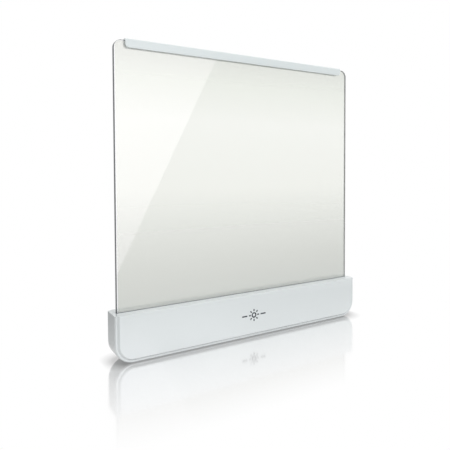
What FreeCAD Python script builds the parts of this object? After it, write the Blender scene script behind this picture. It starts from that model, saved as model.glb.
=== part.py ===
import FreeCAD, Part
import math
import os
import re
import Sketcher

# Edge-lit panel light: a thin clear panel stands in a slot on top of a slim plastic base that holds
# three AAA cells, a slide switch and a strip of light-emitting diodes under the panel's edge.
# Frame: +X along the base, +Y to the rear, +Z up, origin under the middle of the base. Millimetres.

doc = FreeCAD.newDocument("panel_light")
dims = doc.addObject("Spreadsheet::Sheet", "dims")
nodes = {}

DIMENSIONS = [
    # the base shell, whose face and back both stand proud of a narrow rim
    ("base_length", 182.0),
    ("base_depth", 15.0),
    ("base_height", 27.8),
    ("corner_radius", 11.0),
    ("rim", 1.4),
    ("outer_edge", 0.6),
    ("bevel", 1.2),
    ("face_rise", 0.9),
    ("seam", 0.1),
    ("wall", 1.8),
    ("top_wall", 1.6),
    # the clear panel and its slot
    ("panel_width", 176.0),
    ("panel_thickness", 2.5),
    ("panel_foot", 18.8),
    ("panel_top", 180.8),
    ("panel_corner", 4.5),
    ("panel_edge", 0.2),
    ("slot_gap", 0.1),
    ("slot_end_gap", 0.2),
    # the channel clipped over the panel's top edge
    ("overall_height", 181.8),
    ("cap_length", 163.0),
    ("cap_height", 5.0),
    ("cap_wall", 1.0),
    ("cap_corner", 2.0),
    ("cap_shoulder", 1.1),
    # cells, their door and their contacts
    ("bay_start", -78.0),
    ("cell_length", 44.5),
    ("cell_diameter", 10.5),
    ("nub_diameter", 3.8),
    ("nub_height", 1.0),
    ("cell_level", 8.9),
    ("cell_line", -0.1),
    ("door_margin", 2.2),
    ("door_low", 2.9),
    ("door_high", 15.2),
    ("door_corner", 3.0),
    ("door_gap", 0.2),
    ("door_thickness", 1.15),
    ("ledge_end", 1.8),
    ("ledge_side", 0.6),
    ("rib", 0.8),
    ("rib_end", 1.0),
    ("grip_start", 6.0),
    ("grip_pitch", 1.6),
    ("grip_depth", 0.4),
    ("grip_margin", 3.2),
    ("cradle_start", 3.0),
    ("cradle_pitch", 42.7),
    ("spring_length", 4.6),
    ("spring_reach", 3.2),
    ("spring_strip", 0.3),
    ("spring_width", 4.0),
    ("contact_thickness", 0.4),
    ("contact_half_width", 3.6),
    ("contact_low", 5.9),
    ("contact_high", 12.5),
    ("divider_top", 11.7),
    ("divider_thickness", 1.2),
    ("tab_length", 2.4),
    ("tab_half_width", 1.2),
    # the shelf, the lamp strip and what holds the panel
    ("shelf_level", 14.6),
    ("shelf_thickness", 1.0),
    ("strip_length", 156.0),
    ("strip_width", 7.2),
    ("board_thickness", 1.0),
    ("led_pitch", 20.0),
    ("led_length", 3.5),
    ("led_width", 2.8),
    ("led_height", 1.9),
    ("resistor_length", 3.2),
    ("resistor_height", 0.6),
    ("reflector_offset", 2.2),
    ("reflector_thickness", 0.5),
    ("seat_start", 80.0),
    ("seat_end", 87.8),
    ("seat_top", 22.0),
    ("seat_half_depth", 5.4),
    # the control board, the switch and its knob
    ("control_left", 64.0),
    ("control_right", 81.5),
    ("control_low", 4.2),
    ("control_high", 13.6),
    ("switch_rest", 71.2),
    ("switch_travel", 2.0),
    ("switch_half_length", 4.5),
    ("switch_half_height", 2.1),
    ("track_depth", 1.2),
    ("switch_depth", 3.6),
    ("knob_length", 8.0),
    ("knob_height", 5.0),
    ("knob_boss", 2.4),
    ("knob_gap", 0.1),
    ("stem_width", 1.2),
    ("stem_end", 5.6),
    ("ridge_pitch", 2.0),
    ("ridge_width", 0.8),
    ("ridge_depth", 0.3),
    ("ridge_half_height", 1.8),
    # screws and the bosses that take them
    ("screw_radius", 1.0),
    ("head_radius", 1.7),
    ("head_height", 0.8),
    ("boss_radius", 1.9),
    ("post_radius", 1.5),
    ("post_screw_radius", 0.8),
    ("wire_diameter", 0.8),
    ("wire_hole_length", 4.2),
    ("lead_depth", -4.7),
    ("lead_level", 13.4),
    ("lead_y", -2.9),
    ("lead_start_level", 11.9),
    ("pad_level_minus", 9.9),
    ("pad_level_plus", 11.6),
    ("pad_level_lamp", 11.4),
    ("pad_x_minus", 67.2),
    ("pad_x_lamp_plus", 68.3),
    ("pad_x_lamp_minus", 70.3),
    ("strip_pad_depth", -3.2),
]

COVER_SCREWS = [(-85.6, 12.4), (61.3, 8.9), (84.6, 8.9)]
BOARD_SCREWS = [(65.7, 12.0), (79.7, 12.0)]
LED_COUNT = 8
CELL_COUNT = 3
GRIP_COUNT = 5
RIDGE_COUNT = 3
SLIT_HALF_WIDTH = 0.25
DRIVER_PARTS = {
    # x from and to, height off the board, z from and to
    "driver_chip": ((69.2, 74.2), 1.5, (5.0, 9.0)),
    "inductor": ((75.6, 79.6), 2.0, (5.0, 9.0)),
    "capacitor": ((65.6, 67.6), 0.8, (5.0, 6.2)),
}


# ---- helpers: the sheet, sketches and features ---------------------------------------------------

for row, (alias, number) in enumerate(DIMENSIONS, start=1):
    dims.set(f"A{row}", alias)
    dims.set(f"B{row}", str(number))
    dims.setAlias(f"B{row}", alias)
doc.recompute()


def on_sheet(formula):
    """A formula of plain dimension names, as other objects read it from the sheet."""
    return re.sub(r"[a-z]\w*", r"dims.\g<0>", str(formula))


def size(formula):
    """The value of a formula, in millimetres."""
    return float(dims.evalExpression(on_sheet(formula)))


def bind(thing, **formulas):
    """Bind each named property of an object to its formula."""
    for name, formula in formulas.items():
        thing.setExpression(name, on_sheet(formula))


def put(thing, x, y, z):
    """Bind an object's place to three formulas."""
    for letter, formula in zip("xyz", (x, y, z)):
        thing.setExpression(f".Placement.Base.{letter}", on_sheet(formula))


def keep(node, thing):
    """Name an object as one of the finished sub-parts."""
    thing.Label = node
    nodes[node] = thing
    return thing


def new_body(node):
    """An empty PartDesign body for one sub-part."""
    return keep(node, doc.addObject("PartDesign::Body", node))


def new_sketch(body, name, role, offset=("0", "0", "0")):
    """A sketch on one of the body's own origin planes, moved by three formulas in its own axes."""
    sketch = body.newObject("Sketcher::SketchObject", name)
    plane = next(item for item in body.Origin.OriginFeatures if item.Role == role)
    sketch.AttachmentSupport = [(plane, "")]
    sketch.MapMode = "FlatFace"
    for letter, formula in zip("xyz", offset):
        sketch.setExpression(f".AttachmentOffset.Base.{letter}", on_sheet(formula))
    return sketch


def outline(sketch, corners, arcs=()):
    """A closed anticlockwise outline whose corners are pinned by formulas.

    arcs maps the number of a side to the radius of the quarter circle that takes its place.
    """
    arcs = dict(arcs)
    points = [FreeCAD.Vector(size(u), size(v), 0) for u, v in corners]
    count = len(points)
    for side, start in enumerate(points):
        end = points[(side + 1) % count]
        if side not in arcs:
            sketch.addGeometry(Part.LineSegment(start, end))
            continue
        chord = end - start
        outward = FreeCAD.Vector(chord.y, -chord.x, 0).normalize()
        bulge = size(arcs[side]) * (1 - math.sqrt(0.5))
        sketch.addGeometry(Part.Arc(start, (start + end) * 0.5 + outward * bulge, end))
    for side in range(count):
        sketch.addConstraint(Sketcher.Constraint("Coincident", side, 2, (side + 1) % count, 1))
    for side, (u, v) in enumerate(corners):
        for kind, formula in (("DistanceX", u), ("DistanceY", v)):
            number = sketch.addConstraint(Sketcher.Constraint(kind, -1, 1, side, 1, size(formula)))
            sketch.setExpression(f"Constraints[{number}]", on_sheet(formula))
    for side, radius in arcs.items():
        number = sketch.addConstraint(Sketcher.Constraint("Radius", side, size(radius)))
        sketch.setExpression(f"Constraints[{number}]", on_sheet(radius))


def rectangle(sketch, left, right, low, high):
    """A closed rectangle between four formulas."""
    outline(sketch, [(left, low), (right, low), (right, high), (left, high)])


def shell_outline(sketch, inset, top):
    """The base's own outline seen from the front, moved inwards by inset, with its top at top."""
    reach = f"(base_length / 2 - ({inset}))"
    bend = f"(base_length / 2 - corner_radius)"
    corners = [
        (f"-{bend}", inset),
        (bend, inset),
        (reach, "corner_radius"),
        (reach, top),
        (f"-{reach}", top),
        (f"-{reach}", "corner_radius"),
    ]
    radius = f"corner_radius - ({inset})"
    outline(sketch, corners, {1: radius, 5: radius})


def extrude(body, kind, name, sketch, length, reverse=False, middle=False):
    """A Pad or Pocket of a sketch, checked to have changed the body's volume."""
    before = body.Shape.Volume if body.Tip else 0.0
    feature = body.newObject(f"PartDesign::{kind}", name)
    feature.Profile = sketch
    feature.Reversed = reverse
    feature.Midplane = middle
    bind(feature, Length=length)
    sketch.Visibility = False
    doc.recompute()
    if abs(feature.Shape.Volume - before) < 1e-3:
        raise RuntimeError(f"{name} changes nothing")
    return feature


def bar(body, kind, name, x, y, z):
    """A box added to or taken from a body, between a low and a high formula on each axis."""
    before = body.Shape.Volume if body.Tip else 0.0
    feature = body.newObject(f"PartDesign::{kind}Box", name)
    bind(feature, Length=f"({x[1]}) - ({x[0]})", Width=f"({y[1]}) - ({y[0]})")
    bind(feature, Height=f"({z[1]}) - ({z[0]})")
    put(feature, x[0], y[0], z[0])
    doc.recompute()
    if abs(feature.Shape.Volume - before) < 1e-3:
        raise RuntimeError(f"{name} changes nothing")
    return feature


def peg(body, kind, name, centre, radius, y):
    """A cylinder along Y added to or taken from a body, between two formulas."""
    before = body.Shape.Volume if body.Tip else 0.0
    feature = body.newObject(f"PartDesign::{kind}Cylinder", name)
    feature.Placement = FreeCAD.Placement(FreeCAD.Vector(), FreeCAD.Rotation(FreeCAD.Vector(1, 0, 0), -90))
    bind(feature, Radius=radius, Height=f"({y[1]}) - ({y[0]})")
    put(feature, centre[0], y[0], centre[1])
    doc.recompute()
    if abs(feature.Shape.Volume - before) < 1e-3:
        raise RuntimeError(f"{name} changes nothing")
    return feature


def edges_where(shape, test):
    """The names of a shape's edges whose bounding box passes a test."""
    return [f"Edge{number}" for number, edge in enumerate(shape.Edges, start=1) if test(edge.BoundBox)]


def dress(body, kind, name, base, edges, formula):
    """A Fillet or Chamfer on named edges of a feature."""
    feature = body.newObject(f"PartDesign::{kind}", name)
    feature.Base = (base, edges)
    bind(feature, **{"Radius" if kind == "Fillet" else "Size": formula})


def block(name, x, y, z):
    """A Part box between a low and a high formula on each axis."""
    box = doc.addObject("Part::Box", name)
    bind(box, Length=f"({x[1]}) - ({x[0]})", Width=f"({y[1]}) - ({y[0]})", Height=f"({z[1]}) - ({z[0]})")
    put(box, x[0], y[0], z[0])
    return box


def rod(name, centre, radius, y):
    """A Part cylinder along Y between two formulas."""
    cylinder = doc.addObject("Part::Cylinder", name)
    turn = FreeCAD.Rotation(FreeCAD.Vector(1, 0, 0), -90)
    cylinder.Placement = FreeCAD.Placement(FreeCAD.Vector(), turn)
    bind(cylinder, Radius=radius, Height=f"({y[1]}) - ({y[0]})")
    put(cylinder, centre[0], y[0], centre[1])
    return cylinder


def joined(name, *pieces):
    """One solid fused from Part objects."""
    fuse = doc.addObject("Part::MultiFuse", name)
    fuse.Shapes = list(pieces)
    fuse.Refine = True
    return fuse


def cut(name, base, tool):
    """A Part object with another taken out of it."""
    result = doc.addObject("Part::Cut", name)
    result.Base = base
    result.Tool = tool
    return result


# Levels that several sub-parts share, as formulas.
INSIDE = "(base_depth / 2 - wall)"
RIM_PLANE = "(base_depth / 2 - face_rise)"
FACE = "(base_depth / 2)"
CAVITY_END = "(base_length / 2 - rim - bevel)"
CAVITY_TOP = "(base_height - top_wall)"
CAVITY_FLOOR = "(rim + bevel)"
SHELF_TOP = "(shelf_level + shelf_thickness)"
STRIP_TOP = "(shelf_level + shelf_thickness + board_thickness)"
SLOT_SIDE = "(panel_thickness / 2 + slot_gap)"
SLOT_END = "(panel_width / 2 + slot_end_gap)"
BAY_END = f"(bay_start + {CELL_COUNT} * cell_length)"
DOOR_LEFT = "(bay_start - door_margin)"
DOOR_RIGHT = f"({BAY_END} + door_margin)"
DOOR_SEAT = "(base_depth / 2 - door_thickness)"
DOOR_BACK = "(base_depth / 2 - door_thickness + seam)"
PLATE_X = f"({BAY_END} + nub_height)"
KNOB_SLOT_LEFT = "(switch_rest - knob_boss / 2 - 2 * knob_gap)"
KNOB_SLOT_RIGHT = "(switch_rest + switch_travel + knob_boss / 2 + 2 * knob_gap)"


# ---- the base shell ------------------------------------------------------------------------------

def raised_back(body):
    """The bevelled plateau that makes the back match the face."""
    foot = new_sketch(body, "back_foot", "XZ_Plane", ("0", "0", f"-{RIM_PLANE}"))
    shell_outline(foot, "rim", "base_height")
    crown = new_sketch(body, "back_crown", "XZ_Plane", ("0", "0", f"-{FACE}"))
    shell_outline(crown, "rim + bevel", "base_height")
    loft = body.newObject("PartDesign::AdditiveLoft", "raised_back")
    loft.Profile = foot
    loft.Sections = [crown]
    loft.Ruled = True
    doc.recompute()


def door_outline(sketch, gap):
    """The battery door's rounded rectangle, smaller than its recess by gap on every side."""
    left = f"{DOOR_LEFT} + {gap}"
    right = f"{DOOR_RIGHT} - {gap}"
    low = f"door_low + {gap}"
    high = f"door_high - {gap}"
    radius = f"(door_corner - {gap})"
    corners = [
        (f"{left} + {radius}", low),
        (f"{right} - {radius}", low),
        (right, f"{low} + {radius}"),
        (right, f"{high} - {radius}"),
        (f"{right} - {radius}", high),
        (f"{left} + {radius}", high),
        (left, f"{high} - {radius}"),
        (left, f"{low} + {radius}"),
    ]
    outline(sketch, corners, {1: radius, 3: radius, 5: radius, 7: radius})


def make_base_housing():
    """Tub open to the front: rim, hollow, panel slot, raised back, battery opening and switch slot."""
    body = new_body("base_housing")
    block_sketch = new_sketch(body, "shell", "XZ_Plane")
    shell_outline(block_sketch, "0", "base_height")
    extrude(body, "Pad", "shell_block", block_sketch, f"2 * {RIM_PLANE}", middle=True)
    raised_back(body)
    plane = size(RIM_PLANE)
    reach = size("base_length / 2")
    outer = edges_where(body.Shape, lambda box: (
        box.YLength < 1e-6
        and abs(abs(box.YMin) - plane) < 1e-6
        and (max(-box.XMin, box.XMax) > reach - 1e-3 or box.ZMax < 1e-3)
        and box.ZMin < size("base_height") - 1e-3
    ))
    dress(body, "Chamfer", "outer_edges", body.Tip, outer, "outer_edge")
    doc.recompute()

    recess = new_sketch(body, "face_recess", "XZ_Plane", ("0", "0", INSIDE))
    shell_outline(recess, "rim", "base_height + 1")
    extrude(body, "Pocket", "cover_seat", recess, "2 * wall", reverse=True)
    hollow = new_sketch(body, "hollow", "XZ_Plane", ("0", "0", INSIDE))
    shell_outline(hollow, "rim + bevel", CAVITY_TOP)
    extrude(body, "Pocket", "hollow_inside", hollow, f"2 * {INSIDE}")

    slot = new_sketch(body, "slot", "XY_Plane", ("0", "0", CAVITY_TOP))
    notch_end = "(base_length / 2 - rim)"
    corners = [
        (f"-{notch_end}", f"-{INSIDE}"),
        (notch_end, f"-{INSIDE}"),
        (SLOT_END, f"-{SLOT_SIDE}"),
        (SLOT_END, SLOT_SIDE),
        (f"-{SLOT_END}", SLOT_SIDE),
        (f"-{SLOT_END}", f"-{SLOT_SIDE}"),
    ]
    outline(slot, corners)
    extrude(body, "Pocket", "lip_and_slot", slot, "2 * top_wall", reverse=True)

    across = (f"-{INSIDE} + 2 * seam", INSIDE)
    bar(body, "Additive", "shelf", (f"-{CAVITY_END}", CAVITY_END), across, ("shelf_level", SHELF_TOP))
    wire_gap = ("switch_rest + 2 * knob_gap - wire_hole_length", "switch_rest + 2 * knob_gap")
    bar(body, "Subtractive", "wire_hole", wire_gap, (f"-{INSIDE}", f"-{INSIDE} + boss_radius"),
        ("shelf_level", SHELF_TOP))
    divider_left = f"{PLATE_X} + contact_thickness"
    bar(body, "Additive", "divider", (divider_left, f"{divider_left} + divider_thickness"), across,
        (CAVITY_FLOOR, "divider_top"))
    for number in range(CELL_COUNT + 1):
        middle = f"bay_start + cradle_start + {number} * cradle_pitch"
        bar(body, "Additive", f"cradle_{number + 1}", (f"{middle} - rib / 2", f"{middle} + rib / 2"),
            (f"-{INSIDE} + 1", f"{INSIDE} - 2"), (CAVITY_FLOOR, "cell_level - cell_diameter / 2"))

    door_seat = new_sketch(body, "door_seat", "XZ_Plane", ("0", "0", f"-{DOOR_SEAT}"))
    door_outline(door_seat, "0")
    extrude(body, "Pocket", "door_recess", door_seat, "2 * wall")
    bar(body, "Subtractive", "battery_opening",
        (f"{DOOR_LEFT} + ledge_end", f"{DOOR_RIGHT} - ledge_end"), (f"{INSIDE} - 0.5", FACE),
        ("door_low + ledge_side", "door_high - ledge_side"))

    knob_room = f"(knob_height / 2 + 3 * knob_gap)"
    bar(body, "Subtractive", "knob_recess",
        ("switch_rest - knob_length / 2 - 0.5", "switch_rest + switch_travel + knob_length / 2 + 0.5"),
        (RIM_PLANE, FACE), (f"cell_level - {knob_room}", f"cell_level + {knob_room}"))
    bar(body, "Subtractive", "knob_slot", (KNOB_SLOT_LEFT, KNOB_SLOT_RIGHT), (f"{INSIDE} - 0.5", FACE),
        ("cell_level - knob_boss / 2 - 2 * knob_gap", "cell_level + knob_boss / 2 + 2 * knob_gap"))

    for number, centre in enumerate(COVER_SCREWS, start=1):
        peg(body, "Subtractive", f"screw_hole_{number}", centre, "screw_radius + 0.1",
            (f"{INSIDE} - 0.5", FACE))
        peg(body, "Subtractive", f"head_recess_{number}", centre, "head_radius + 0.15", (RIM_PLANE, FACE))
    for number, centre in enumerate(BOARD_SCREWS, start=1):
        peg(body, "Additive", f"board_post_{number}", centre, "post_radius", ("0", INSIDE))
        peg(body, "Subtractive", f"post_pilot_{number}", centre, "post_screw_radius",
            ("0", f"{INSIDE} - 1.5"))


def make_front_cover():
    """Bevelled face plate with the front lip of the slot along its top and the screw bosses behind."""
    body = new_body("front_cover")
    edge = new_sketch(body, "plate_edge", "XZ_Plane", ("0", "0", INSIDE))
    shell_outline(edge, "rim + seam", "base_height")
    extrude(body, "Pad", "plate", edge, "wall - face_rise")
    foot = new_sketch(body, "bevel_foot", "XZ_Plane", ("0", "0", RIM_PLANE))
    shell_outline(foot, "rim + seam", "base_height")
    crown = new_sketch(body, "bevel_crown", "XZ_Plane", ("0", "0", FACE))
    shell_outline(crown, "rim + bevel", "base_height")
    loft = body.newObject("PartDesign::AdditiveLoft", "raised_face")
    loft.Profile = foot
    loft.Sections = [crown]
    loft.Ruled = True
    doc.recompute()

    lip = new_sketch(body, "lip", "XY_Plane", ("0", "0", CAVITY_TOP))
    lip_end = "(base_length / 2 - rim - seam)"
    corners = [
        (f"-{lip_end}", f"-{INSIDE}"),
        (lip_end, f"-{INSIDE}"),
        (f"{SLOT_END} - seam", f"-{SLOT_SIDE}"),
        (f"-({SLOT_END} - seam)", f"-{SLOT_SIDE}"),
    ]
    outline(lip, corners)
    extrude(body, "Pad", "front_lip", lip, "top_wall")
    for number, centre in enumerate(COVER_SCREWS, start=1):
        peg(body, "Additive", f"boss_{number}", centre, "boss_radius", (f"-{INSIDE}", INSIDE))
        peg(body, "Subtractive", f"pilot_{number}", centre, "screw_radius", (f"-{INSIDE} + 2", INSIDE))


def make_battery_door():
    """Rounded plate flush with the back, with two ribs that drop into the battery opening."""
    body = new_body("battery_door")
    plate = new_sketch(body, "door_plate", "XZ_Plane", ("0", "0", f"-{DOOR_BACK}"))
    door_outline(plate, "door_gap")
    extrude(body, "Pad", "door", plate, "door_thickness - seam", reverse=True)
    rib_x = (f"{DOOR_LEFT} + ledge_end + rib_end", f"{DOOR_RIGHT} - ledge_end - rib_end")
    rib_y = (f"{INSIDE} - 1", DOOR_BACK)
    low = "door_low + ledge_side + door_gap"
    high = "door_high - ledge_side - door_gap"
    bar(body, "Additive", "lower_rib", rib_x, rib_y, (low, f"{low} + rib"))
    bar(body, "Additive", "upper_rib", rib_x, rib_y, (f"{high} - rib", high))
    for number in range(GRIP_COUNT):
        groove = f"{DOOR_RIGHT} - grip_start - {number} * grip_pitch"
        bar(body, "Subtractive", f"grip_{number + 1}", (f"{groove} - rib", groove),
            (f"{FACE} - grip_depth", FACE), ("door_low + grip_margin", "door_high - grip_margin"))


# ---- the panel and the channel on its top edge ---------------------------------------------------

def make_light_panel():
    """Clear sheet with two rounded top corners and polished edges."""
    body = new_body("light_panel")
    sheet = new_sketch(body, "sheet", "XZ_Plane")
    side = "(panel_width / 2)"
    bend = "(panel_width / 2 - panel_corner)"
    corners = [
        (f"-{side}", "panel_foot"),
        (side, "panel_foot"),
        (side, "panel_top - panel_corner"),
        (bend, "panel_top"),
        (f"-{bend}", "panel_top"),
        (f"-{side}", "panel_top - panel_corner"),
    ]
    outline(sheet, corners, {2: "panel_corner", 4: "panel_corner"})
    pad = extrude(body, "Pad", "sheet_pad", sheet, "panel_thickness", middle=True)
    face = size("panel_thickness / 2")
    rims = edges_where(pad.Shape, lambda box: box.YLength < 1e-6 and abs(abs(box.YMin) - face) < 1e-6)
    dress(body, "Chamfer", "polished_edge", pad, rims, "panel_edge")


def make_top_cap():
    """Channel over the top edge of the panel, rounded along its shoulders and at its lower corners."""
    body = new_body("top_cap")
    front = new_sketch(body, "cap_front", "XZ_Plane")
    low = "(overall_height - cap_height)"
    side = "(cap_length / 2)"
    corners = [
        (f"-({side} - cap_corner)", low),
        (f"{side} - cap_corner", low),
        (side, f"{low} + cap_corner"),
        (side, "overall_height"),
        (f"-{side}", "overall_height"),
        (f"-{side}", f"{low} + cap_corner"),
    ]
    outline(front, corners, {1: "cap_corner", 5: "cap_corner"})
    thick = "panel_thickness + 2 * cap_wall"
    pad = extrude(body, "Pad", "cap_block", front, thick, middle=True)
    top = size("overall_height")
    half = size(f"({thick}) / 2")
    long_edges = edges_where(pad.Shape, lambda box: box.ZMin > top - 1e-6 and box.XLength > 2 * half)
    dress(body, "Fillet", "shoulders", pad, long_edges, "cap_shoulder")
    doc.recompute()
    groove = new_sketch(body, "groove", "YZ_Plane")
    rectangle(groove, "-panel_thickness / 2", "panel_thickness / 2", f"{low} - 1", "panel_top")
    extrude(body, "Pocket", "panel_groove", groove, "cap_length + 2", middle=True)


def make_panel_seats():
    """Moulded blocks at both ends of the shelf that hold the panel's lower corners."""
    for side, sign in (("left", "-"), ("right", "")):
        body = new_body(f"panel_seat_{side}")
        ends = sorted((f"{sign}seat_start", f"{sign}seat_end"), key=size)
        bar(body, "Additive", "block", ends, ("-seat_half_depth", "seat_half_depth"), (SHELF_TOP, "seat_top"))
        bar(body, "Subtractive", "groove", (f"{ends[0]} - 1", f"{ends[1]} + 1"),
            ("-panel_thickness / 2", "panel_thickness / 2"), ("panel_foot", "seat_top + 1"))


# ---- the lamp strip ------------------------------------------------------------------------------

def make_lamp_strip():
    """Narrow circuit board with a row of diodes facing up into the panel, and their resistors."""
    keep("led_board", block("led_board", ("-strip_length / 2", "strip_length / 2"),
                            ("-strip_width / 2", "strip_width / 2"), (SHELF_TOP, STRIP_TOP)))
    for number in range(LED_COUNT):
        middle = f"({number} - {(LED_COUNT - 1) / 2}) * led_pitch"
        x = (f"{middle} - led_length / 2", f"{middle} + led_length / 2")
        case = block(f"led_case_{number + 1}", x, ("-led_width / 2", "led_width / 2"),
                     (STRIP_TOP, f"{STRIP_TOP} + led_height"))
        well = doc.addObject("Part::Cone", f"led_well_{number + 1}")
        bind(well, Radius1="led_width * 0.28", Radius2="led_width * 0.42", Height="led_height * 0.35")
        put(well, middle, "0", f"{STRIP_TOP} + led_height * 0.65")
        keep(f"led_{number + 1}", cut(f"led_{number + 1}", case, well))
    for number in range(LED_COUNT // 2):
        left = f"({2 * number} - {(LED_COUNT - 2) / 2}) * led_pitch - resistor_length / 2"
        keep(f"resistor_{number + 1}", block(f"resistor_{number + 1}", (left, f"{left} + resistor_length"),
                                            ("-led_width / 4", "led_width / 4"),
                                            (STRIP_TOP, f"{STRIP_TOP} + resistor_height")))


def make_reflectors():
    """White strips that stand on the board on both sides of the diodes."""
    for side, sign in (("front", "-"), ("rear", "")):
        near = f"{sign}reflector_offset"
        far = f"{sign}(reflector_offset + reflector_thickness)"
        y = sorted((near, far), key=size)
        keep(f"reflector_{side}", block(f"reflector_{side}", ("-strip_length / 2", "strip_length / 2"),
                                        y, (STRIP_TOP, CAVITY_TOP)))


# ---- cells and contacts --------------------------------------------------------------------------

def make_cells():
    """Three AAA cells end to end, each a can with a small raised positive end."""
    for number in range(CELL_COUNT):
        body = new_body(f"cell_{number + 1}")
        place = (f"bay_start + {number} * cell_length", "cell_level", "-cell_line")
        half = new_sketch(body, "half_section", "XZ_Plane", place)
        shoulder = "cell_length - nub_height"
        corners = [
            ("0", "0"),
            ("cell_length", "0"),
            ("cell_length", "nub_diameter / 2"),
            (shoulder, "nub_diameter / 2"),
            (shoulder, "cell_diameter / 2"),
            ("0", "cell_diameter / 2"),
        ]
        outline(half, corners)
        turned = body.newObject("PartDesign::Revolution", "can")
        turned.Profile = half
        turned.ReferenceAxis = (half, ["H_Axis"])
        turned.Angle = 360


def make_battery_spring():
    """Bent strip of spring steel that stands on its plate and presses on the first cell's flat end."""
    body = new_body("battery_spring")
    foot = "(bay_start - spring_length)"
    crest = "bay_start"
    back = "(bay_start - spring_strip)"
    front_of_foot = f"{foot} + spring_strip"
    half = [
        (foot, "spring_reach"),
        (front_of_foot, "spring_reach"),
        (front_of_foot, "spring_reach * 0.7"),
        (crest, "spring_reach * 0.32"),
    ]
    inner = [(back, "spring_reach * 0.28"), (foot, "spring_reach * 0.62")]
    corners = [(x, f"-({y})") for x, y in half] + half[::-1] + inner[::-1] + [(x, f"-({y})") for x, y in inner]
    bend = new_sketch(body, "bend", "XY_Plane", ("0", "0", "cell_level - spring_width / 2"))
    outline(bend, corners)
    extrude(body, "Pad", "strip", bend, "spring_width")


def make_contacts():
    """Sheet-metal plates at both ends of the row of cells."""
    width = ("-contact_half_width", "contact_half_width")
    tall = ("contact_low", "contact_high")
    plate_end = "bay_start - spring_length"
    keep("spring_plate", block("spring_plate", (f"{plate_end} - contact_thickness", plate_end), width, tall))
    plate = block("positive_plate", (PLATE_X, f"{PLATE_X} + contact_thickness"), width, tall)
    dimple = doc.addObject("Part::Cylinder", "positive_dimple")
    dimple.Placement = FreeCAD.Placement(FreeCAD.Vector(), FreeCAD.Rotation(FreeCAD.Vector(0, 1, 0), 90))
    bind(dimple, Radius="nub_diameter / 2 - 0.3", Height="nub_height")
    put(dimple, BAY_END, "cell_line", "cell_level")
    tab = block("positive_tab", (PLATE_X, f"{PLATE_X} + contact_thickness + tab_length"),
                ("-tab_half_width", "tab_half_width"),
                ("contact_high - contact_thickness", "contact_high"))
    keep("positive_contact", joined("positive_contact", plate, dimple, tab))


# ---- the control board and the switch ------------------------------------------------------------

def make_control_board():
    """Small upright board on two posts, with the driver parts on its front side."""
    sheet = block("board_sheet", ("control_left", "control_right"), ("-board_thickness", "0"),
                  ("control_low", "control_high"))
    holes = [rod(f"board_hole_{number}", centre, "post_screw_radius + 0.1", ("-2 * board_thickness", "1"))
             for number, centre in enumerate(BOARD_SCREWS, start=1)]
    keep("control_board", cut("control_board", sheet, joined("board_holes", *holes)))
    front_side = "-board_thickness"
    for name, (x, height, z) in DRIVER_PARTS.items():
        keep(name, block(name, x, (f"{front_side} - {height}", front_side), z))


def make_switch():
    """Slide switch on the rear side of the board, its stem and the knob pressed on the stem."""
    middle = "(switch_rest + switch_travel / 2)"
    case = block("switch_case", (f"{middle} - switch_half_length", f"{middle} + switch_half_length"),
                 ("0", "switch_depth"),
                 ("cell_level - switch_half_height", "cell_level + switch_half_height"))
    reach = "(stem_width / 2 + knob_gap)"
    track = block("switch_track",
                  (f"switch_rest - {reach}", f"switch_rest + switch_travel + {reach}"),
                  ("switch_depth - track_depth", "switch_depth + 1"),
                  (f"cell_level - {reach}", f"cell_level + {reach}"))
    keep("switch_body", cut("switch_body", case, track))

    stem_y = ("switch_depth - track_depth + knob_gap", "stem_end")
    stem_x = ("switch_rest - stem_width / 2", "switch_rest + stem_width / 2")
    stem_z = ("cell_level - stem_width / 2", "cell_level + stem_width / 2")
    keep("switch_stem", block("switch_stem", stem_x, stem_y, stem_z))

    body = new_body("slider_knob")
    pad_y = (f"{RIM_PLANE} + knob_gap", f"{FACE} - knob_gap")
    bar(body, "Additive", "pad", ("switch_rest - knob_length / 2", "switch_rest + knob_length / 2"),
        pad_y, ("cell_level - knob_height / 2", "cell_level + knob_height / 2"))
    bar(body, "Additive", "boss", ("switch_rest - knob_boss / 2", "switch_rest + knob_boss / 2"),
        ("switch_depth + 0.5", pad_y[0]), ("cell_level - knob_boss / 2", "cell_level + knob_boss / 2"))
    bar(body, "Subtractive", "stem_socket", stem_x, ("switch_depth", stem_y[1]), stem_z)
    for number in range(RIDGE_COUNT):
        ridge = f"switch_rest + {number - (RIDGE_COUNT - 1) / 2} * ridge_pitch"
        bar(body, "Subtractive", f"ridge_{number + 1}",
            (f"{ridge} - ridge_width / 2", f"{ridge} + ridge_width / 2"), (f"{pad_y[1]} - ridge_depth", FACE),
            ("cell_level - ridge_half_height", "cell_level + ridge_half_height"))


# ---- screws and wires ----------------------------------------------------------------------------

def screw_set(node, centres, head_from, head_to, shank_to, head_radius, shank_radius):
    """A group of equal screws along Y, each a pan head and a shank with a cross recess."""
    screws = []
    for number, centre in enumerate(centres, start=1):
        head = rod(f"{node}_head_{number}", centre, head_radius, sorted((head_from, head_to), key=size))
        shank = rod(f"{node}_shank_{number}", centre, shank_radius, sorted((head_from, shank_to), key=size))
        whole = joined(f"{node}_blank_{number}", head, shank)
        depth = sorted((f"({head_from} + {head_to}) / 2", head_to), key=size)
        x, z = centre
        arm = size(head_radius) * 0.6
        cross = joined(f"{node}_cross_{number}",
                       block(f"{node}_slit_a_{number}", (x - arm, x + arm), depth,
                             (z - SLIT_HALF_WIDTH, z + SLIT_HALF_WIDTH)),
                       block(f"{node}_slit_b_{number}", (x - SLIT_HALF_WIDTH, x + SLIT_HALF_WIDTH), depth,
                             (z - arm, z + arm)))
        screws.append(cut(f"{node}_{number}", whole, cross))
    group = doc.addObject("Part::Compound", node)
    group.Links = screws
    keep(node, group)


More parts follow.
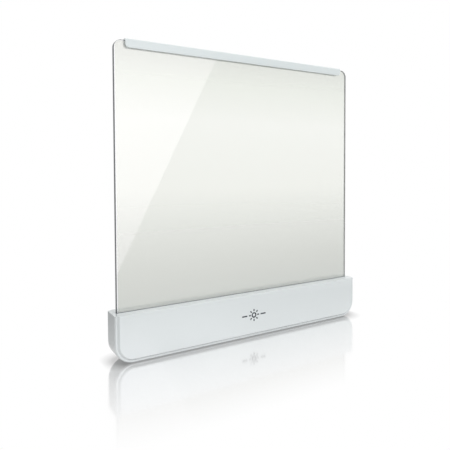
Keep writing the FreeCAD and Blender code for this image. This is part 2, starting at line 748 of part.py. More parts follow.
def wire_path(route):
    """Straight runs joined by tangent arcs, each arc as large as its two runs allow."""
    points = [FreeCAD.Vector(*point) for point in route]
    edges = []
    here = points[0]
    for before, corner, after in zip(points, points[1:], points[2:]):
        back = before - corner
        ahead = after - corner
        shorter = min(back.Length, ahead.Length)
        back.normalize()
        ahead.normalize()
        half_turn = (math.pi - back.getAngle(ahead)) / 2
        trim = 0.45 * shorter
        radius = trim / math.tan(half_turn)
        print(f"arc radius {radius:.2f}")
        start = corner + back * trim
        end = corner + ahead * trim
        inward = (back + ahead).normalize()
        middle = corner + inward * (radius / math.cos(half_turn) - radius)
        edges.append(Part.LineSegment(here, start).toShape())
        edges.append(Part.Arc(start, middle, end).toShape())
        here = end
    edges.append(Part.LineSegment(here, points[-1]).toShape())
    return Part.Wire(edges)


def make_wire(node, route):
    """Round insulated wire along a route, in a Part::Feature of its own."""
    path = wire_path(route)
    radius = size("wire_diameter") / 2
    start = FreeCAD.Vector(*route[0])
    section = Part.Wire(Part.makeCircle(radius, start, FreeCAD.Vector(*route[1]) - start))
    tube = doc.addObject("Part::Feature", node)
    tube.Shape = path.makePipeShell([section], True, True)
    expected = math.pi * radius ** 2 * path.Length
    print(f"{node}: volume {tube.Shape.Volume:.2f}, section times length {expected:.2f}")
    keep(node, tube)


def make_wires():
    """Two leads from the battery contacts to the board and two from the board up to the lamp strip."""
    plate = size("bay_start - spring_length")
    lead_depth = size("lead_depth")
    lead_level = size("lead_level")
    lead_y = size("lead_y")
    start_level = size("lead_start_level")
    board_front = size("-board_thickness")
    board_left = size("control_left")
    pad_x = size("pad_x_minus")
    pad_level = size("pad_level_minus")
    turn = size("2 * wire_diameter")
    make_wire("battery_lead_minus", [
        (plate, lead_y, start_level),
        (plate + turn, lead_y, start_level),
        (plate + size("spring_length"), lead_depth, lead_level),
        (board_left - turn, lead_depth, lead_level),
        (pad_x, lead_depth, pad_level),
        (pad_x, board_front, pad_level),
    ])
    tab = size(f"{PLATE_X} + contact_thickness + tab_length")
    tab_level = size("contact_high - contact_thickness / 2")
    board_middle = size("-board_thickness / 2")
    plus_level = size("pad_level_plus")
    make_wire("battery_lead_plus", [
        (tab, 0, tab_level),
        (tab + turn, 0, tab_level),
        (board_left - turn, board_middle, plus_level),
        (board_left, board_middle, plus_level),
    ])
    strip = size(STRIP_TOP)
    strip_pad = size("strip_pad_depth")
    lamp_level = size("pad_level_lamp")
    for node, x in (("lamp_lead_plus", size("pad_x_lamp_plus")), ("lamp_lead_minus", size("pad_x_lamp_minus"))):
        make_wire(node, [
            (x, board_front, lamp_level),
            (x, lead_depth, lamp_level),
            (x, lead_depth, strip + turn),
            (x, strip_pad, strip + turn),
            (x, strip_pad, strip),
        ])


make_base_housing()
make_front_cover()
make_battery_door()
make_light_panel()
make_top_cap()
make_panel_seats()
make_lamp_strip()
make_reflectors()
make_cells()
make_battery_spring()
make_contacts()
make_control_board()
make_switch()
screw_set("cover_screws", COVER_SCREWS, RIM_PLANE, f"{RIM_PLANE} + head_height", f"-{INSIDE} + 2.5",
          "head_radius", "screw_radius")
screw_set("board_screws", BOARD_SCREWS, "-board_thickness", "-board_thickness - head_height",
          f"{INSIDE} - 2", "post_radius - 0.3", "post_screw_radius")
make_wires()

doc.recompute()
for item in doc.Objects:
    if "Invalid" in item.State or "Error" in item.State:
        raise RuntimeError(f"{item.Label} failed: {item.State}")
for node, item in nodes.items():
    if item.Shape.isNull() or not item.Shape.isValid():
        raise RuntimeError(f"{node} has no valid shape")

os.makedirs("parts", exist_ok=True)
for node, item in nodes.items():
    item.Shape.exportStep(f"parts/{node}.step")
    box = item.Shape.BoundBox
    print(f"{node}: {len(item.Shape.Solids)} solid, volume {item.Shape.Volume:.1f},"
          f" x {box.XMin:.2f} {box.XMax:.2f}, y {box.YMin:.2f} {box.YMax:.2f}, z {box.ZMin:.2f} {box.ZMax:.2f}")
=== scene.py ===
import math

import bmesh
import bpy
from mathutils import Matrix, Vector


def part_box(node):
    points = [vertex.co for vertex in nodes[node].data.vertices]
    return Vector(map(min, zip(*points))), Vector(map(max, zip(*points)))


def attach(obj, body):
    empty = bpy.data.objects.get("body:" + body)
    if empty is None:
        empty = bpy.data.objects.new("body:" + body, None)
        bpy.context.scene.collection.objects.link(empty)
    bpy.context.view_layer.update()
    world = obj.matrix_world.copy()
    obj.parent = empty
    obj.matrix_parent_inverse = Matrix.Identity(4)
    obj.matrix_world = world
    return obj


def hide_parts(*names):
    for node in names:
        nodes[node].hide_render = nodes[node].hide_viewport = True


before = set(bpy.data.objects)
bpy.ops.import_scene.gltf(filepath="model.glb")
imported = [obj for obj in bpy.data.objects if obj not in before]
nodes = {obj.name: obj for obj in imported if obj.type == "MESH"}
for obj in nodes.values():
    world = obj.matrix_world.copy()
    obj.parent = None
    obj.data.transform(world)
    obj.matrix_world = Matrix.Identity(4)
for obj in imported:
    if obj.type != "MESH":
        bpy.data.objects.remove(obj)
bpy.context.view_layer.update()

scene = bpy.context.scene
scene.view_settings.view_transform = "Standard"

# ---- Camera ----
# A short lens a third of a metre from the object, left of it and a little above the middle of the
# panel. The lens is shifted down so that the panel's upright edges stay nearly upright. Lengths are
# metres here and below, and MM turns millimetres into them.
MM = 0.001
CAMERA_PLACE = Vector((-169.6, -255.8, 107.6)) * MM
CAMERA_TURN = 0.5316
CAMERA_TILT = 0.0335
CAMERA_ROLL = -0.0049
CAMERA_LENS = 37.52
CAMERA_SENSOR = 36.0
LENS_SHIFT = (0.0094, -0.0855)
NEAREST_SEEN = 0.01

camera_data = bpy.data.cameras.new("camera")
camera_data.sensor_width = CAMERA_SENSOR
camera_data.lens = CAMERA_LENS
camera_data.shift_x, camera_data.shift_y = LENS_SHIFT
camera_data.clip_start = NEAREST_SEEN
camera = bpy.data.objects.new("camera", camera_data)
scene.collection.objects.link(camera)
forward = Vector((
    math.sin(CAMERA_TURN) * math.cos(CAMERA_TILT),
    math.cos(CAMERA_TURN) * math.cos(CAMERA_TILT),
    -math.sin(CAMERA_TILT),
))
level = Vector((math.cos(CAMERA_TURN), -math.sin(CAMERA_TURN), 0))
upright = level.cross(forward)
right = level * math.cos(CAMERA_ROLL) + upright * math.sin(CAMERA_ROLL)
up = upright * math.cos(CAMERA_ROLL) - level * math.sin(CAMERA_ROLL)
turned = Matrix((right, up, -forward)).transposed()
camera.matrix_world = Matrix.Translation(CAMERA_PLACE) @ turned.to_4x4()
scene.camera = camera

# ---- Studio floor ----
# A backlit white acrylic table. It glows evenly, has a painted shadow where the object stands, and its
# polish mirrors the object. The polish wears off away from where things are set down.
FLOOR_SIZE = 6.0
FLOOR_BELOW = 0.02 * MM
FLOOR_MIRROR = 0.7
POLISH_ROUGHNESS = 0.11
MIRROR_KEPT = 8 * MM
MIRROR_GONE = 80 * MM
SHADE_REACH = 9 * MM
HALF_COVERED = 0.5
DEEPEST_SHADE = 0.6
GLOW_ON_THINGS = 0.38
NEAR_GLOSS = 100 * MM


def linear(colour):
    """An sRGB hex colour as the linear red, green, blue and alpha that shaders take."""
    parts = [int(colour[i:i + 2], 16) / 255 for i in (0, 2, 4)]
    return tuple([p / 12.92 if p <= 0.04045 else ((p + 0.055) / 1.055) ** 2.4 for p in parts] + [1.0])


def add(tree, kind, inputs=(), **settings):
    """Add one node, give it settings and input values, and link its inputs.

    A setting that names an input sets that input, with _ for a space, and any other sets a property.
    inputs holds (input name or number, the socket that feeds it or a plain value).
    """
    node = tree.nodes.new(kind)
    for name, value in settings.items():
        socket = node.inputs.get(name.replace("_", " "))
        if socket is None:
            setattr(node, name, value)
        else:
            socket.default_value = value
    for name, source in inputs:
        if isinstance(source, bpy.types.NodeSocket):
            tree.links.new(source, node.inputs[name])
        else:
            node.inputs[name].default_value = source
    return node


def new_material(name):
    """An empty node material and its output node."""
    made = bpy.data.materials.new(name)
    made.use_nodes = True
    made.node_tree.nodes.clear()
    return made, made.node_tree, add(made.node_tree, "ShaderNodeOutputMaterial")


_, base_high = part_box("base_housing")
half = FLOOR_SIZE / 2
floor_corners = [(-half, -half, 0), (half, -half, 0), (half, half, 0), (-half, half, 0)]
floor_mesh = bpy.data.meshes.new("floor")
floor_mesh.from_pydata(floor_corners, [], [(0, 1, 2, 3)])
floor = bpy.data.objects.new("floor", floor_mesh)
floor.location.z = -FLOOR_BELOW
scene.collection.objects.link(floor)
table_top, tree, out = new_material("lit white acrylic table")

# How far a point lies outside the base's footprint says how much polish is left there.
where = add(tree, "ShaderNodeTexCoord")
split = add(tree, "ShaderNodeSeparateXYZ", [(0, where.outputs["Object"])])
apart = add(tree, "ShaderNodeCombineXYZ")
for axis, reach in (("X", base_high.x), ("Y", base_high.y)):
    across = add(tree, "ShaderNodeMath", [(0, split.outputs[axis])], operation="ABSOLUTE")
    past = add(tree, "ShaderNodeMath", [(0, across.outputs[0]), (1, reach)], operation="SUBTRACT")
    outside = add(tree, "ShaderNodeMath", [(0, past.outputs[0]), (1, 0)], operation="MAXIMUM")
    tree.links.new(outside.outputs[0], apart.inputs[axis])
distance = add(tree, "ShaderNodeVectorMath", [(0, apart.outputs[0])], operation="LENGTH")
worn = add(tree, "ShaderNodeMapRange", [("Value", distance.outputs["Value"])],
           From_Min=MIRROR_KEPT, From_Max=MIRROR_GONE, To_Min=FLOOR_MIRROR, To_Max=0)

# Close under the object an occlusion node paints a shadow into the table's glow and polish, and things get less
# of its glow than the eye does.
covered = add(tree, "ShaderNodeAmbientOcclusion", Distance=SHADE_REACH)
shade = add(tree, "ShaderNodeMapRange", [("Value", covered.outputs["AO"])],
            From_Min=HALF_COVERED, To_Min=DEEPEST_SHADE)
ray = add(tree, "ShaderNodeLightPath")
near_ray = add(tree, "ShaderNodeMath", [(0, ray.outputs["Ray Length"]), (1, NEAR_GLOSS)], operation="LESS_THAN")
near_gloss = add(tree, "ShaderNodeMath", [
    (0, near_ray.outputs[0]),
    (1, ray.outputs["Is Glossy Ray"]),
], operation="MULTIPLY")
from_things = add(tree, "ShaderNodeMath", [
    (0, near_gloss.outputs[0]),
    (1, ray.outputs["Is Diffuse Ray"]),
], operation="MAXIMUM")
to_things = add(tree, "ShaderNodeMapRange", [("Value", from_things.outputs[0])],
                To_Min=1.0, To_Max=GLOW_ON_THINGS)
brightness = add(tree, "ShaderNodeMath", [
    (0, shade.outputs[0]),
    (1, to_things.outputs[0]),
], operation="MULTIPLY")
glow = add(tree, "ShaderNodeEmission", [("Strength", brightness.outputs[0])], Color=linear("FFFFFF"))
polish = add(tree, "ShaderNodeBsdfGlossy", [("Color", shade.outputs[0])], Roughness=POLISH_ROUGHNESS)
both = add(tree, "ShaderNodeMixShader", [
    (0, worn.outputs[0]),
    (1, glow.outputs[0]),
    (2, polish.outputs[0]),
])
tree.links.new(both.outputs[0], out.inputs[0])
floor_mesh.materials.append(table_top)

# ---- Studio light ----
# White all round for what is seen and mirrored, and for what is lit a soft light that is strongest in
# front and on the right, and weak from behind and from the left.
LIGHT_SLOPE = (0.66, -0.5, 0.12)
LIGHT_MEAN = 0.81
LIGHT_LEAST = 0.05

sky = bpy.data.worlds.new("studio")
sky.use_nodes = True
tree = sky.node_tree
tree.nodes.clear()
out = add(tree, "ShaderNodeOutputWorld")
place = add(tree, "ShaderNodeTexCoord")
slope = add(tree, "ShaderNodeVectorMath", [
    (0, place.outputs["Generated"]),
    (1, LIGHT_SLOPE),
], operation="DOT_PRODUCT")
lifted = add(tree, "ShaderNodeMath", [(0, slope.outputs["Value"]), (1, LIGHT_MEAN)], operation="ADD")
soft = add(tree, "ShaderNodeMath", [(0, lifted.outputs[0]), (1, LIGHT_LEAST)], operation="MAXIMUM")
ray = add(tree, "ShaderNodeLightPath")
soft_light = add(tree, "ShaderNodeBackground", [("Strength", soft.outputs[0])], Color=linear("FAFDFE"))
white = add(tree, "ShaderNodeBackground", Color=linear("FFFFFF"), Strength=1.0)
choice = add(tree, "ShaderNodeMixShader", [
    (0, ray.outputs["Is Diffuse Ray"]),
    (1, white.outputs[0]),
    (2, soft_light.outputs[0]),
])
tree.links.new(choice.outputs[0], out.inputs[0])
sky.cycles.sampling_method = "NONE"
scene.world = sky

# ---- Reflector cards ----
# Two white cards in front of the object, seen only in its gloss: one lights the panel's left up to a
# slanted line, the other the left of the base. Each is laid out by where its edge should fall on the
# object, mirrored from the camera on to the plane that the card hangs in.
PANEL_CARD_PLANE = -205 * MM
BASE_CARD_PLANE = -900 * MM
BEYOND = 120 * MM


def card(name, colour, near, far, plane, mirror_y, slant):
    """A glowing card whose reflection in an upright face at mirror_y is bounded by a slanted line.

    slant holds the line's foot and head (x, z), and the card's reflection reaches BEYOND to its left.
    near is the card's strength along the line, and far on the left.
    """
    eye = Vector((CAMERA_PLACE.x, 2 * mirror_y - CAMERA_PLACE.y, CAMERA_PLACE.z))
    (foot_x, foot_z), (head_x, head_z) = slant
    corners = []
    for x, z in ((foot_x, foot_z), (head_x, head_z), (head_x - BEYOND, head_z), (foot_x - BEYOND, foot_z)):
        seen = Vector((x, mirror_y, z))
        corners.append(eye + (seen - eye) * (plane - eye.y) / (seen.y - eye.y))
    mesh = bpy.data.meshes.new(name)
    mesh.from_pydata(corners, [], [tuple(range(len(corners)))])
    piece = bpy.data.objects.new(name, mesh)
    scene.collection.objects.link(piece)
    piece.visible_camera = False
    piece.visible_diffuse = False
    piece.visible_shadow = False
    piece.visible_transmission = False
    made, tree, out = new_material(name)
    where = add(tree, "ShaderNodeTexCoord")
    split = add(tree, "ShaderNodeSeparateXYZ", [(0, where.outputs["Object"])])
    fade = add(tree, "ShaderNodeMapRange", [("Value", split.outputs["X"])],
               From_Min=corners[2].x, From_Max=corners[1].x, To_Min=far, To_Max=near)
    glow = add(tree, "ShaderNodeEmission", [("Strength", fade.outputs[0])], Color=linear(colour))
    tree.links.new(glow.outputs[0], out.inputs[0])
    mesh.materials.append(made)


panel_low, panel_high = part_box("light_panel")
cover_low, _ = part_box("front_cover")
card("panel_card", "FFF9FF", 2.1, 2.5, PANEL_CARD_PLANE, panel_low.y,
     ((-87.7 * MM, 49.5 * MM), (-20.6 * MM, panel_high.z)))
card("base_card", "FFFAF8", 2.3, 9.5, BASE_CARD_PLANE, cover_low.y,
     ((-44.2 * MM, 0), (-26.0 * MM, base_high.z)))

# ---- Base housing, front cover, battery door and switch knob ----
# White ABS, injection moulded in polished tools: smooth and glossy, with the faint waviness of a
# moulded skin. Every outer edge is broken by the tool's small radius, which catches the light.
SHELL_EDGE = 0.22 * MM
SAME_POINT = 0.001 * MM
SAME_FACE = math.radians(0.5)
SHARP_EDGE = math.radians(25)
ROUNDING_STEPS = 3
MOTTLE_SIZE = 25 * MM
MOTTLE_DARKEST = 0.985
ROUGHNESS_SPREAD = 0.15


def finish_with(made, *names):
    """Give every face of these carried-over parts one material."""
    for name in names:
        mesh = nodes[name].data
        mesh.materials.clear()
        mesh.materials.append(made)


def soften(node, width):
    """Round the sharp edges of a carried-over part by a small radius."""
    part = nodes[node]
    weld = part.modifiers.new("weld", "WELD")
    weld.merge_threshold = SAME_POINT
    flat = part.modifiers.new("whole faces", "DECIMATE")
    flat.decimate_type = "DISSOLVE"
    flat.angle_limit = SAME_FACE
    edge = part.modifiers.new("tool radius", "BEVEL")
    edge.width = width
    edge.segments = ROUNDING_STEPS
    edge.limit_method = "ANGLE"
    edge.angle_limit = SHARP_EDGE
    even = part.modifiers.new("even shading", "WEIGHTED_NORMAL")
    even.keep_sharp = False


def moulded_plastic(name, colour, roughness, wave_mm, glow=0.0):
    """Moulded or extruded plastic with a slow surface wave, a very slight unevenness of colour, and a painted
    glow of strength glow.
    """
    made, tree, out = new_material(name)
    where = add(tree, "ShaderNodeTexCoord")
    mottle = add(tree, "ShaderNodeTexNoise", [("Vector", where.outputs["Object"])],
                 Scale=1 / MOTTLE_SIZE, Detail=2.0)
    tint = linear(colour)
    darkest = tuple([c * MOTTLE_DARKEST for c in tint[:3]] + [1])
    shade = add(tree, "ShaderNodeMixRGB", [(0, mottle.outputs["Fac"])], Color1=darkest, Color2=tint)
    wave = add(tree, "ShaderNodeTexNoise", [("Vector", where.outputs["Object"])],
               Scale=1 / (wave_mm * MM), Detail=1.0)
    bump = add(tree, "ShaderNodeBump", [("Height", wave.outputs["Fac"])], Strength=1.0, Distance=0.006 * MM)
    uneven = add(tree, "ShaderNodeMapRange", [("Value", mottle.outputs["Fac"])],
                 To_Min=roughness * (1 - ROUGHNESS_SPREAD), To_Max=roughness * (1 + ROUGHNESS_SPREAD))
    skin = add(tree, "ShaderNodeBsdfPrincipled", [
        ("Base Color", shade.outputs[0]),
        ("Roughness", uneven.outputs["Result"]),
        ("Normal", bump.outputs["Normal"]),
    ], IOR=1.54, Emission_Color=tint, Emission_Strength=glow)
    tree.links.new(skin.outputs[0], out.inputs[0])
    return made


white_abs = moulded_plastic("moulded white ABS", "E6EAEA", 0.1, wave_mm=6)
for node in ("base_housing", "front_cover", "battery_door", "slider_knob"):
    finish_with(white_abs, node)
    soften(node, SHELL_EDGE)

# ---- Bead in the seam of the front cover ----
# The cover is glued into the rim of the housing. The white solvent glue fills the 0.1 mm seam nearly
# to the surface and dries satin, so that the seam is a shallow line and not a black crack.
RIM_WIDTH = 1.4 * MM
SEAM_WIDTH = 0.1 * MM
RIM_DEPTH = 0.9 * MM
BEAD_BELOW = 0.07 * MM
BEAD_THICKNESS = 0.3 * MM
SHELL_CORNER = 11.0 * MM
SHELL_STEPS = 16


def shell_line(inset, y):
    """The base's outline moved inwards, from the top left round the bottom to the top right."""
    reach = base_high.x - inset
    bend = base_high.x - SHELL_CORNER
    radius = SHELL_CORNER - inset
    points = [(-reach, y, base_high.z)]
    for centre_x, start in ((-bend, math.pi), (bend, 1.5 * math.pi)):
        for step in range(SHELL_STEPS + 1):
            turn = start + math.pi / 2 * step / SHELL_STEPS
            points.append((centre_x + radius * math.cos(turn), y, SHELL_CORNER + radius * math.sin(turn)))
    points.append((reach, y, base_high.z))
    return points


def strip_along(name, lines):
    """A closed strip whose long edges are these equally long lines, in order round its section."""
    mesh = bmesh.new()
    edges = [[mesh.verts.new(point) for point in line] for line in lines]
    for line, following in zip(edges, edges[1:] + edges[:1]):
        for i in range(len(line) - 1):
            mesh.faces.new((line[i], line[i + 1], following[i + 1], following[i]))
    mesh.faces.new([line[0] for line in edges])
    mesh.faces.new([line[-1] for line in edges][::-1])
    bmesh.ops.recalc_face_normals(mesh, faces=mesh.faces)
    made = bpy.data.meshes.new(name)
    mesh.to_mesh(made)
    mesh.free()
    return made


def mottled(name, dark, light, size, roughness, ior, detail=2.0):
    """A smooth material whose colour wanders between two tones over patches of this size."""
    made, tree, out = new_material(name)
    where = add(tree, "ShaderNodeTexCoord")
    patches = add(tree, "ShaderNodeTexNoise", [("Vector", where.outputs["Object"])],
                  Scale=1 / size, Detail=detail)
    tone = add(tree, "ShaderNodeMixRGB", [(0, patches.outputs["Fac"])],
               Color1=linear(dark), Color2=linear(light))
    body = add(tree, "ShaderNodeBsdfPrincipled", [("Base Color", tone.outputs[0])],
               Roughness=roughness, IOR=ior)
    tree.links.new(body.outputs[0], out.inputs[0])
    return made


def new_piece(name, mesh, body, slot, *materials):
    """Link a finished mesh into the scene as a piece that rides on a body."""
    piece = bpy.data.objects.new(name, mesh)
    scene.collection.objects.link(piece)
    for made in materials:
        mesh.materials.append(made)
    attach(piece, body)
    return piece


bead_front = cover_low.y + RIM_DEPTH + BEAD_BELOW
bead_back = bead_front + BEAD_THICKNESS
bead_mesh = strip_along("seam_bead", [
    shell_line(RIM_WIDTH, bead_front),
    shell_line(RIM_WIDTH + SEAM_WIDTH, bead_front),
    shell_line(RIM_WIDTH + SEAM_WIDTH, bead_back),
    shell_line(RIM_WIDTH, bead_back),
])
glue = mottled("white solvent glue", "DDE1E1", "EBEFEF", 2 * MM, roughness=0.4, ior=1.5)
new_piece("seam_bead", bead_mesh, "base", "white_shell", glue)

# ---- Painted gap shade at the foot of the panel ----
# A thin strip of dark grey in the slot, between the cover and the panel, stands for the shade in the gap
# there: painted shade. It is matt and blotchy, so that it shows as a thin uneven dark line above the cover.
SHADE_STRIP_HEIGHT = 0.22 * MM
SHADE_STRIP_DEPTH = 0.8 * MM
SHADE_STRIP_WIDTH = 0.09 * MM

shade_strip_back = panel_low.y
shade_strip_front = panel_low.y - SHADE_STRIP_WIDTH
shade_strip_foot = base_high.z - SHADE_STRIP_DEPTH
shade_strip_top = base_high.z + SHADE_STRIP_HEIGHT
shade_strip_section = ((shade_strip_front, shade_strip_foot), (shade_strip_front, shade_strip_top), (shade_strip_back, shade_strip_top), (shade_strip_back, shade_strip_foot))
shade_strip_ends = (panel_low.x, panel_high.x)
shade_strip_mesh = strip_along("slot_gap_shade", [[(x, y, z) for x in shade_strip_ends] for y, z in shade_strip_section])
painted_gap_shade_material = mottled("grey painted gap shade", "4A4E55", "7D8188", 9 * MM, roughness=0.5, ior=1.41, detail=3.0)
new_piece("slot_gap_shade", shade_strip_mesh, "base", "black_plastic", painted_gap_shade_material)

# ---- Lamp sign on the front cover ----
# A small printed sign in dark grey ink, pad printed on the face: a plain ring with eight rays and a
# short bar on both sides. It stands 0.02 mm proud, as thick as such ink is, and dries satin.
SIGN_CENTRE = Vector((0.9 * MM, cover_low.y, 14.3 * MM))
INK_THICKNESS = 0.02 * MM
RING_INNER = 0.95 * MM
RING_OUTER = 1.85 * MM
RING_STEPS = 48
RAYS = 8
RAY_START = 2.5 * MM
RAY_END = 3.9 * MM
LINE_WIDTH = 0.85 * MM
BAR_START = 5.2 * MM
BAR_END = 9.2 * MM
INK_LIFT = Vector((0, -INK_THICKNESS, 0))


def ink_strip(mesh, turn, start, end):
    """A flat strip of ink from start to end in one direction, with its rim turned back to the face."""
    along = Vector((math.cos(turn), 0, math.sin(turn)))
    across = Vector((-along.z, 0, along.x)) * LINE_WIDTH / 2
    outline = [
        SIGN_CENTRE + along * start - across,
        SIGN_CENTRE + along * end - across,
        SIGN_CENTRE + along * end + across,
        SIGN_CENTRE + along * start + across,
    ]
    top = [mesh.verts.new(point + INK_LIFT) for point in outline]
    foot = [mesh.verts.new(point) for point in outline]
    mesh.faces.new(top)
    for i in range(4):
        mesh.faces.new((top[i - 1], foot[i - 1], foot[i], top[i]))


def ink_ring(mesh):
    """A flat ring of ink."""
    loops = []
    for radius, height in (
        (RING_INNER, Vector()),
        (RING_INNER, INK_LIFT),
        (RING_OUTER, INK_LIFT),
        (RING_OUTER, Vector()),
    ):
        loops.append([
            mesh.verts.new(SIGN_CENTRE + height + Vector((math.cos(turn), 0, math.sin(turn))) * radius)
            for turn in (2 * math.pi * step / RING_STEPS for step in range(RING_STEPS))
        ])
    for near, far in zip(loops, loops[1:]):
        for i in range(RING_STEPS):
            mesh.faces.new((near[i - 1], near[i], far[i], far[i - 1]))


sign = bmesh.new()
ink_ring(sign)
for number in range(RAYS):
    ink_strip(sign, number * 2 * math.pi / RAYS, RAY_START, RAY_END)
for turn in (math.pi, 0):
    ink_strip(sign, turn, BAR_START, BAR_END)
bmesh.ops.recalc_face_normals(sign, faces=sign.faces)
sign_mesh = bpy.data.meshes.new("lamp_sign")
sign.to_mesh(sign_mesh)
sign.free()
ink = mottled("grey printing ink", "33383D", "454A4F", 0.4 * MM, roughness=0.45, ior=1.5)
new_piece("lamp_sign", sign_mesh, "base", "white_shell", ink)

# ---- Light panel ----
# One sheet of cast acrylic, 2.5 mm thick, cut by laser and slid into the base. Its back carries a fine
# raster of white dots that turns the lamps' light out of the sheet, and stops short of the edges.
PANEL_CORNER = 4.5 * MM
PANEL_CHAMFER = 0.2 * MM
CORNER_STEPS = 12


def panel_outline(inset):
    """The panel's outline seen from the front, moved inwards, from the lower left anticlockwise."""
    side = panel_high.x - inset
    top = panel_high.z - inset
    foot = panel_low.z + inset
    radius = PANEL_CORNER - inset
    points = [(-side, foot), (side, foot)]
    for centre_x, start in ((side - radius, 0.0), (-side + radius, math.pi / 2)):
        for step in range(CORNER_STEPS + 1):
            turn = start + math.pi / 2 * step / CORNER_STEPS
            points.append((centre_x + radius * math.cos(turn), top - radius + radius * math.sin(turn)))
    return points


sheet = bmesh.new()
rings = []
half_thick = panel_high.y
for inset, y in (
    (PANEL_CHAMFER, -half_thick),
    (0.0, -half_thick + PANEL_CHAMFER),
    (0.0, half_thick - PANEL_CHAMFER),
    (PANEL_CHAMFER, half_thick),
):
    rings.append([sheet.verts.new((x, y, z)) for x, z in panel_outline(inset)])
FACE, CUT_EDGE = range(2)
sheet.faces.new(rings[0]).material_index = FACE
sheet.faces.new(rings[3][::-1]).material_index = FACE
for near, far in zip(rings, rings[1:]):
    for i in range(len(near)):
        sheet.faces.new((near[i], near[i - 1], far[i - 1], far[i])).material_index = CUT_EDGE
bmesh.ops.recalc_face_normals(sheet, faces=sheet.faces)
sheet_mesh = bpy.data.meshes.new("panel_sheet")
sheet.to_mesh(sheet_mesh)
sheet.free()

# Clear acrylic: a mirror gloss at each face, and a tint with height that is painted shade, greyest at
# the foot and greyer again at the top. The white raster veils it inside a clear border. Only the face
# that a ray enters by is tinted, so a look straight through is tinted once.
FOOT_PAINTED_SHADE = "C3C5C0"
HEAD_PAINTED_SHADE = "DDDFD9"
PAINTED_SHADES_BETWEEN = ((0.13, "D0D2CC"), (0.3, "E4E6E0"), (0.45, "F7F8F2"), (0.72, "FDFEF9"), (0.87, "F1F4EC"))
acrylic, tree, out = new_material("clear cast acrylic")
where = add(tree, "ShaderNodeTexCoord")
split = add(tree, "ShaderNodeSeparateXYZ", [(0, where.outputs["Object"])])
side = add(tree, "ShaderNodeMath", [(0, split.outputs["X"])], operation="ABSOLUTE")
height = add(tree, "ShaderNodeMapRange", [("Value", split.outputs["Z"])],
             From_Min=base_high.z, From_Max=panel_high.z)
tint = add(tree, "ShaderNodeValToRGB", [(0, height.outputs["Result"])])
stops = tint.color_ramp.elements
stops[0].position, stops[0].color = 0.0, linear(FOOT_PAINTED_SHADE)
stops[1].position, stops[1].color = 1.0, linear(HEAD_PAINTED_SHADE)
for position, colour in PAINTED_SHADES_BETWEEN:
    stops.new(position).color = linear(colour)
clear = add(tree, "ShaderNodeBsdfTransparent", Color=linear("FFFFFF"))
shade_tinted = add(tree, "ShaderNodeBsdfTransparent", [(0, tint.outputs["Color"])])

# The raster: round dots on a square grid, and the thin printed veil between them, denser at the foot.
DOT_PITCH = 0.6 * MM
DOT_RADIUS = 0.17 * MM
DOT_CORE = 0.7
DOT_SHARE = 0.03
VEIL_AT_FOOT = 0.5
VEIL_ABOVE = 0.29
VEIL_EVEN_FROM = 0.3
CLEAR_BORDER = 0.6 * MM
spot = add(tree, "ShaderNodeCombineXYZ")
for axis in ("X", "Z"):
    tile = add(tree, "ShaderNodeMath", [(0, split.outputs[axis]), (1, DOT_PITCH / 2)], operation="PINGPONG")
    tree.links.new(tile.outputs[0], spot.inputs[axis])
distance = add(tree, "ShaderNodeVectorMath", [(0, spot.outputs[0])], operation="LENGTH")
dot = add(tree, "ShaderNodeMapRange", [("Value", distance.outputs["Value"])],
          From_Min=DOT_RADIUS, From_Max=DOT_RADIUS * DOT_CORE, To_Max=DOT_SHARE)
veil = add(tree, "ShaderNodeMapRange", [("Value", height.outputs["Result"])],
           From_Max=VEIL_EVEN_FROM, To_Min=VEIL_AT_FOOT, To_Max=VEIL_ABOVE)
print_share = add(tree, "ShaderNodeMath", [(0, dot.outputs[0]), (1, veil.outputs[0])], operation="ADD")
frost = add(tree, "ShaderNodeBsdfDiffuse", Color=linear("D9DAD5"))
veiled = add(tree, "ShaderNodeMixShader", [
    (0, print_share.outputs[0]),
    (1, shade_tinted.outputs[0]),
    (2, frost.outputs[0]),
])
in_width = add(tree, "ShaderNodeMath", [
    (0, side.outputs[0]),
    (1, panel_high.x - CLEAR_BORDER),
], operation="LESS_THAN")
in_height = add(tree, "ShaderNodeMath", [
    (0, split.outputs["Z"]),
    (1, panel_high.z - CLEAR_BORDER),
], operation="LESS_THAN")
in_field = add(tree, "ShaderNodeMath", [
    (0, in_width.outputs[0]),
    (1, in_height.outputs[0]),
], operation="MULTIPLY")
print_or_not = add(tree, "ShaderNodeMixShader", [
    (0, in_field.outputs[0]),
    (1, clear.outputs[0]),
    (2, veiled.outputs[0]),
])

# Gloss of both faces at the entering one, nothing at the leaving one, and frosting in the slot.
ACRYLIC_IOR = 1.49
BACK_MIRROR = 1.8
mirror = add(tree, "ShaderNodeFresnel", IOR=ACRYLIC_IOR)
twice = add(tree, "ShaderNodeMath", [(0, mirror.outputs[0]), (1, BACK_MIRROR)], operation="MULTIPLY")
gloss = add(tree, "ShaderNodeBsdfGlossy", Color=linear("FFFFFF"), Roughness=0.01)
entering = add(tree, "ShaderNodeMixShader", [
    (0, twice.outputs[0]),
    (1, print_or_not.outputs[0]),
    (2, gloss.outputs[0]),
])
side_of_face = add(tree, "ShaderNodeNewGeometry")
sheet_look = add(tree, "ShaderNodeMixShader", [
    (0, side_of_face.outputs["Backfacing"]),
    (1, entering.outputs[0]),
    (2, clear.outputs[0]),
])
in_slot = add(tree, "ShaderNodeMath", [(0, split.outputs["Z"]), (1, base_high.z)], operation="LESS_THAN")
matt = add(tree, "ShaderNodeBsdfDiffuse", Color=linear("E4E6E4"))
whole = add(tree, "ShaderNodeMixShader", [
    (0, in_slot.outputs[0]),
    (1, sheet_look.outputs[0]),
    (2, matt.outputs[0]),
])
tree.links.new(whole.outputs[0], out.inputs[0])
